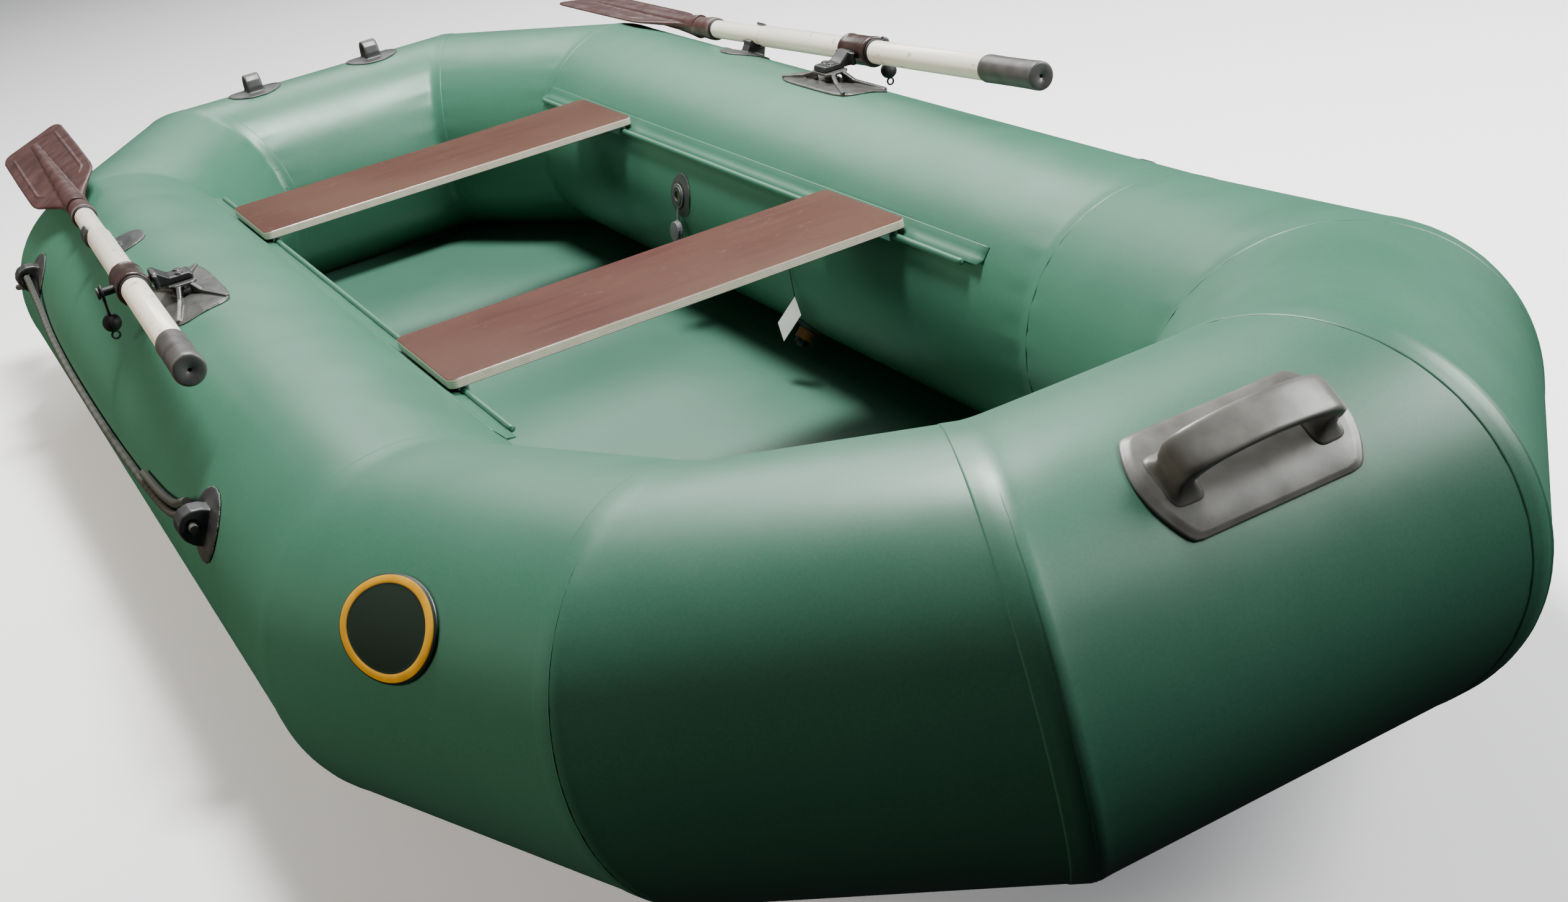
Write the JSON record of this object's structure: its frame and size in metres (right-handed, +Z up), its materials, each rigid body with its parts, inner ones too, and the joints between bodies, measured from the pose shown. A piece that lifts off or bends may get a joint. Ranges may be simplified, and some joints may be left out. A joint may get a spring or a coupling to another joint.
{
  "type": "inflatable rowing boat",
  "caption": "Ring-shaped inflatable boat with fabric floor, sliding thwarts, rowlocks with stowed oars, lifelines, valves and a bow carry handle",
  "frame": {"origin": "on the ground under the middle of the hull", "axes": "+Y toward the stern, +X toward port, +Z up"},
  "size_m": [1.279, 2.9015, 0.475],
  "materials": {
    "hull_pvc": "satin",
    "badge_gold": "satin",
    "fitting_rubber": "matte",
    "rope": "matte",
    "plywood": "satin",
    "channel_alloy": "satin",
    "grip_black": "matte",
    "shaft_ivory": "gloss",
    "collar_brown": "gloss",
    "moulded_black": "satin",
    "cap_rubber": "matte",
    "valve_brass": "satin",
    "cap_grey": "matte",
    "ring_orange": "satin",
    "tag_card": "matte",
    "thread": "matte"
  },
  "bodies": {
    "hull": {"tube_bow_centre": "hull_pvc", "tube_bow_shoulder_port": "hull_pvc", "tube_bow_cheek_port": "hull_pvc", "tube_side_port": "hull_pvc", "tube_quarter_port": "hull_pvc", "tube_stern_centre": "hull_pvc", "tube_quarter_starboard": "hull_pvc", "tube_side_starboard": "hull_pvc", "tube_bow_cheek_starboard": "hull_pvc", "tube_bow_shoulder_starboard": "hull_pvc", "tube_bulkhead_port": "hull_pvc", "tube_bulkhead_starboard": "hull_pvc", "rail_strip_port": "hull_pvc", "rail_strip_starboard": "hull_pvc", "rail_bead_port": "hull_pvc", "rail_bead_starboard": "hull_pvc", "eyelet_fore_port": "fitting_rubber", "eyelet_fore_starboard": "fitting_rubber", "eyelet_aft_port": "fitting_rubber", "eyelet_aft_starboard": "fitting_rubber", "eyelet_stern_port": "fitting_rubber", "eyelet_stern_starboard": "fitting_rubber", "oar_clip_port": "fitting_rubber", "oar_clip_starboard": "fitting_rubber", "lifeline_port": "rope", "lifeline_starboard": "rope", "lifeline_tail_starboard": "rope", "rowlock_base_port": "moulded_black", "rowlock_base_starboard": "moulded_black", "floor_fabric": "hull_pvc", "badge": "badge_gold", "carry_handle": "fitting_rubber", "air_valve_body": "fitting_rubber", "floor_valve_body": "fitting_rubber", "floor_valve_ring": "ring_orange", "tag": "tag_card", "tag_thread": "thread"},
    "thwart_fore_slider": {"thwart_fore": "plywood", "channel_fore_port": "channel_alloy", "channel_fore_starboard": "channel_alloy"},
    "thwart_aft_slider": {"thwart_aft": "plywood", "channel_aft_port": "channel_alloy", "channel_aft_starboard": "channel_alloy"},
    "swivel_port": {"rowlock_swivel_port": "moulded_black"},
    "oar_port": {"oar_grip_port": "grip_black", "oar_upper_shaft_port": "shaft_ivory", "oar_collar_port": "collar_brown", "oar_lower_shaft_port": "shaft_ivory", "oar_blade_port": "moulded_black"},
    "pin_cap_port": {"rowlock_cap_port": "cap_rubber"},
    "swivel_starboard": {"rowlock_swivel_starboard": "moulded_black"},
    "oar_starboard": {"oar_grip_starboard": "grip_black", "oar_upper_shaft_starboard": "shaft_ivory", "oar_collar_starboard": "collar_brown", "oar_lower_shaft_starboard": "shaft_ivory", "oar_blade_starboard": "moulded_black"},
    "pin_cap_starboard": {"rowlock_cap_starboard": "cap_rubber"},
    "valve_plunger": {"air_valve_stem": "valve_brass"},
    "valve_lid": {"air_valve_cap": "cap_grey"},
    "floor_valve_plug": {"floor_valve_cap": "moulded_black"}
  },
  "joints": [
    {"name": "thwart_fore_slide", "type": "slide", "parent": "hull", "child": "thwart_fore_slider", "axis": [0, 1, 0], "range_m": [-0.13, 0.055]},
    {"name": "thwart_aft_slide", "type": "slide", "parent": "hull", "child": "thwart_aft_slider", "axis": [0, 1, 0], "range_m": [-0.25, 0.14]},
    {"name": "rowlock_turn_port", "type": "hinge", "parent": "hull", "child": "swivel_port", "pos_m": [0.486, 0.149, 0.38], "axis": [0, 0, -1], "range_deg": [0, 60], "deforming": ["rowlock_cap_port"]},
    {"name": "oar_tilt_port", "type": "hinge", "parent": "swivel_port", "child": "oar_port", "pos_m": [0.545, 0.149, 0.387], "axis": [1, 0, 0], "range_deg": [0, 4], "deforming": ["oar_clip_port"]},
    {"name": "pin_cap_swing_port", "type": "hinge", "parent": "swivel_port", "child": "pin_cap_port", "pos_m": [0.582, 0.149, 0.387], "axis": [1, 0, 0], "range_deg": [-60, 60]},
    {"name": "rowlock_turn_starboard", "type": "hinge", "parent": "hull", "child": "swivel_starboard", "pos_m": [-0.486, 0.149, 0.38], "axis": [0, 0, 1], "range_deg": [0, 60], "deforming": ["rowlock_cap_starboard"]},
    {"name": "oar_tilt_starboard", "type": "hinge", "parent": "swivel_starboard", "child": "oar_starboard", "pos_m": [-0.54495, 0.15137, 0.387], "axis": [0.9992, -0.0401, 0], "range_deg": [0, 4], "deforming": ["oar_clip_starboard"]},
    {"name": "pin_cap_swing_starboard", "type": "hinge", "parent": "swivel_starboard", "child": "pin_cap_starboard", "pos_m": [-0.58192, 0.15285, 0.387], "axis": [0.9992, -0.0401, 0], "range_deg": [-60, 60]},
    {"name": "valve_plunger_press", "type": "slide", "parent": "hull", "child": "valve_plunger", "axis": [0.9744, 0, -0.225], "range_m": [0, 0.005], "stiffness_N_per_m": 300, "springref_m": -0.002},
    {"name": "valve_lid_swing", "type": "hinge", "parent": "hull", "child": "valve_lid", "pos_m": [0.26777, 0.294, 0.22146], "axis": [-0.9744, 0, 0.225], "range_deg": [-70, 70]},
    {"name": "floor_valve_plug_turn", "type": "hinge", "parent": "hull", "child": "floor_valve_plug", "pos_m": [0.30639, 0.022, 0.04662], "axis": [-0.7314, 0, -0.682], "range_deg": [0, 90]}
  ]
}
